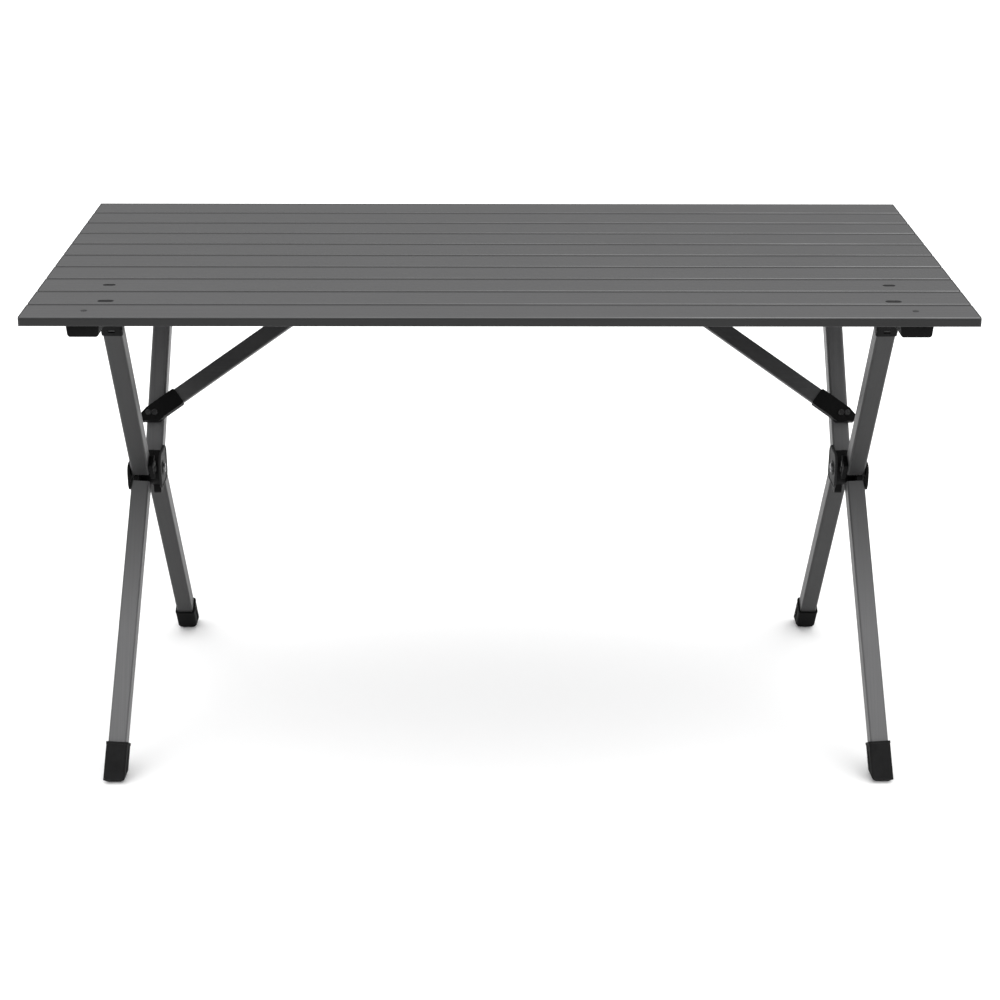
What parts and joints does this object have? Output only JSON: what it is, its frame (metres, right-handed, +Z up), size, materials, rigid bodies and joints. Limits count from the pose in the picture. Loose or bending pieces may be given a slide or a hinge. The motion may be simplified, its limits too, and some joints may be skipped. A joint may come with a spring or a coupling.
{
  "type": "folding picnic table",
  "caption": "Folding picnic table with a roll-up slatted aluminium top on a hinged scissor frame with diagonal braces, rubber feet and plastic hubs.",
  "frame": {"origin": "on the floor under the middle of the table", "axes": "+X along the slats to the right, -Y towards the front edge, +Z up"},
  "size_m": [1.2, 0.6, 0.68],
  "materials": {
    "slat_grey": "satin powder coat, fine brushed streaks along the slat",
    "frame_grey": "satin grey coating on aluminium tube",
    "black_plastic": "fine moulded texture",
    "grey_plastic": "fine moulded texture",
    "foot_rubber": "matt",
    "steel": "zinc plated"
  },
  "bodies": {
    "back_frame": {"arm_lower_front_left": "frame_grey", "arm_lower_front_right": "frame_grey", "arm_upper_back_left": "frame_grey", "arm_upper_back_right": "frame_grey", "back_frame_rivets": "steel", "brace_anchors": "black_plastic", "brace_left": "frame_grey", "brace_right": "frame_grey", "corner_back_left": "black_plastic", "corner_back_right": "black_plastic", "deck_hinge_pins": "steel", "elbow_left": "black_plastic", "elbow_right": "black_plastic", "foot_front_left": "foot_rubber", "foot_front_right": "foot_rubber", "hub_back_half_left": "black_plastic", "hub_back_half_right": "black_plastic", "hub_inner_cheeks": "grey_plastic", "hub_outer_cheeks": "black_plastic", "pivot_pins": "steel", "rail_back": "frame_grey"},
    "front_frame": {"arm_lower_back_left": "frame_grey", "arm_lower_back_right": "frame_grey", "arm_upper_front_left": "frame_grey", "arm_upper_front_right": "frame_grey", "corner_front_left": "black_plastic", "corner_front_right": "black_plastic", "deck_hook_pins": "steel", "foot_back_left": "foot_rubber", "foot_back_right": "foot_rubber", "front_frame_rivets": "steel", "hub_front_half_left": "black_plastic", "hub_front_half_right": "black_plastic", "rail_front": "frame_grey"},
    "deck_carrier": {"beam_caps": "black_plastic", "beam_left": "frame_grey", "beam_right": "frame_grey", "deck_rivets": "steel", "slat_01": "slat_grey", "slat_01_plugs": "black_plastic"},
    "top_slat_02": {"slat_02": "slat_grey", "slat_02_clips": "black_plastic", "slat_02_plugs": "black_plastic"},
    "top_slat_03": {"slat_03": "slat_grey", "slat_03_clips": "black_plastic", "slat_03_plugs": "black_plastic"},
    "top_slat_04": {"slat_04": "slat_grey", "slat_04_plugs": "black_plastic"},
    "top_slat_05": {"slat_05": "slat_grey", "slat_05_plugs": "black_plastic"},
    "top_slat_06": {"slat_06": "slat_grey", "slat_06_plugs": "black_plastic"},
    "top_slat_07": {"slat_07": "slat_grey", "slat_07_plugs": "black_plastic"},
    "top_slat_08": {"slat_08": "slat_grey", "slat_08_plugs": "black_plastic"},
    "top_slat_09": {"slat_09": "slat_grey", "slat_09_plugs": "black_plastic"},
    "top_slat_10": {"slat_10": "slat_grey", "slat_10_plugs": "black_plastic"}
  },
  "joints": [
    {"name": "frame_fold", "type": "hinge", "parent": "back_frame", "child": "front_frame", "pos_m": [0, 0, 0.366], "axis": [-1, 0, 0], "range_deg": [0, 64.3]},
    {"name": "deck_tilt", "type": "hinge", "parent": "back_frame", "child": "deck_carrier", "pos_m": [0, 0.2059, 0.659], "axis": [-1, 0, 0], "range_deg": [0, 90.1]},
    {"name": "roll_02", "type": "hinge", "parent": "deck_carrier", "child": "top_slat_02", "pos_m": [0, -0.24056, 0.68], "axis": [1, 0, 0], "range_deg": [0, 34.5]},
    {"name": "roll_03", "type": "hinge", "parent": "top_slat_02", "child": "top_slat_03", "pos_m": [0, -0.18042, 0.68], "axis": [1, 0, 0], "range_deg": [0, 34.5]},
    {"name": "roll_04", "type": "hinge", "parent": "top_slat_03", "child": "top_slat_04", "pos_m": [0, -0.12028, 0.68], "axis": [1, 0, 0], "range_deg": [0, 34.5]},
    {"name": "roll_05", "type": "hinge", "parent": "top_slat_04", "child": "top_slat_05", "pos_m": [0, -0.06014, 0.68], "axis": [1, 0, 0], "range_deg": [0, 34.5]},
    {"name": "roll_06", "type": "hinge", "parent": "top_slat_05", "child": "top_slat_06", "pos_m": [0, 0, 0.68], "axis": [1, 0, 0], "range_deg": [0, 34.5]},
    {"name": "roll_07", "type": "hinge", "parent": "top_slat_06", "child": "top_slat_07", "pos_m": [0, 0.06014, 0.68], "axis": [1, 0, 0], "range_deg": [0, 34.5]},
    {"name": "roll_08", "type": "hinge", "parent": "top_slat_07", "child": "top_slat_08", "pos_m": [0, 0.12028, 0.68], "axis": [1, 0, 0], "range_deg": [0, 34.5]},
    {"name": "roll_09", "type": "hinge", "parent": "top_slat_08", "child": "top_slat_09", "pos_m": [0, 0.18042, 0.68], "axis": [1, 0, 0], "range_deg": [0, 34.5]},
    {"name": "roll_10", "type": "hinge", "parent": "top_slat_09", "child": "top_slat_10", "pos_m": [0, 0.24056, 0.68], "axis": [1, 0, 0], "range_deg": [0, 34.5]}
  ],
  "couplings": [
    {"joint": "deck_tilt", "follows": "frame_fold", "ratio": 1.4},
    {"joint": "roll_03", "follows": "roll_02", "ratio": 1},
    {"joint": "roll_04", "follows": "roll_02", "ratio": 1},
    {"joint": "roll_05", "follows": "roll_02", "ratio": 1},
    {"joint": "roll_06", "follows": "roll_02", "ratio": 1},
    {"joint": "roll_07", "follows": "roll_02", "ratio": 1},
    {"joint": "roll_08", "follows": "roll_02", "ratio": 1},
    {"joint": "roll_09", "follows": "roll_02", "ratio": 1},
    {"joint": "roll_10", "follows": "roll_02", "ratio": 1}
  ]
}
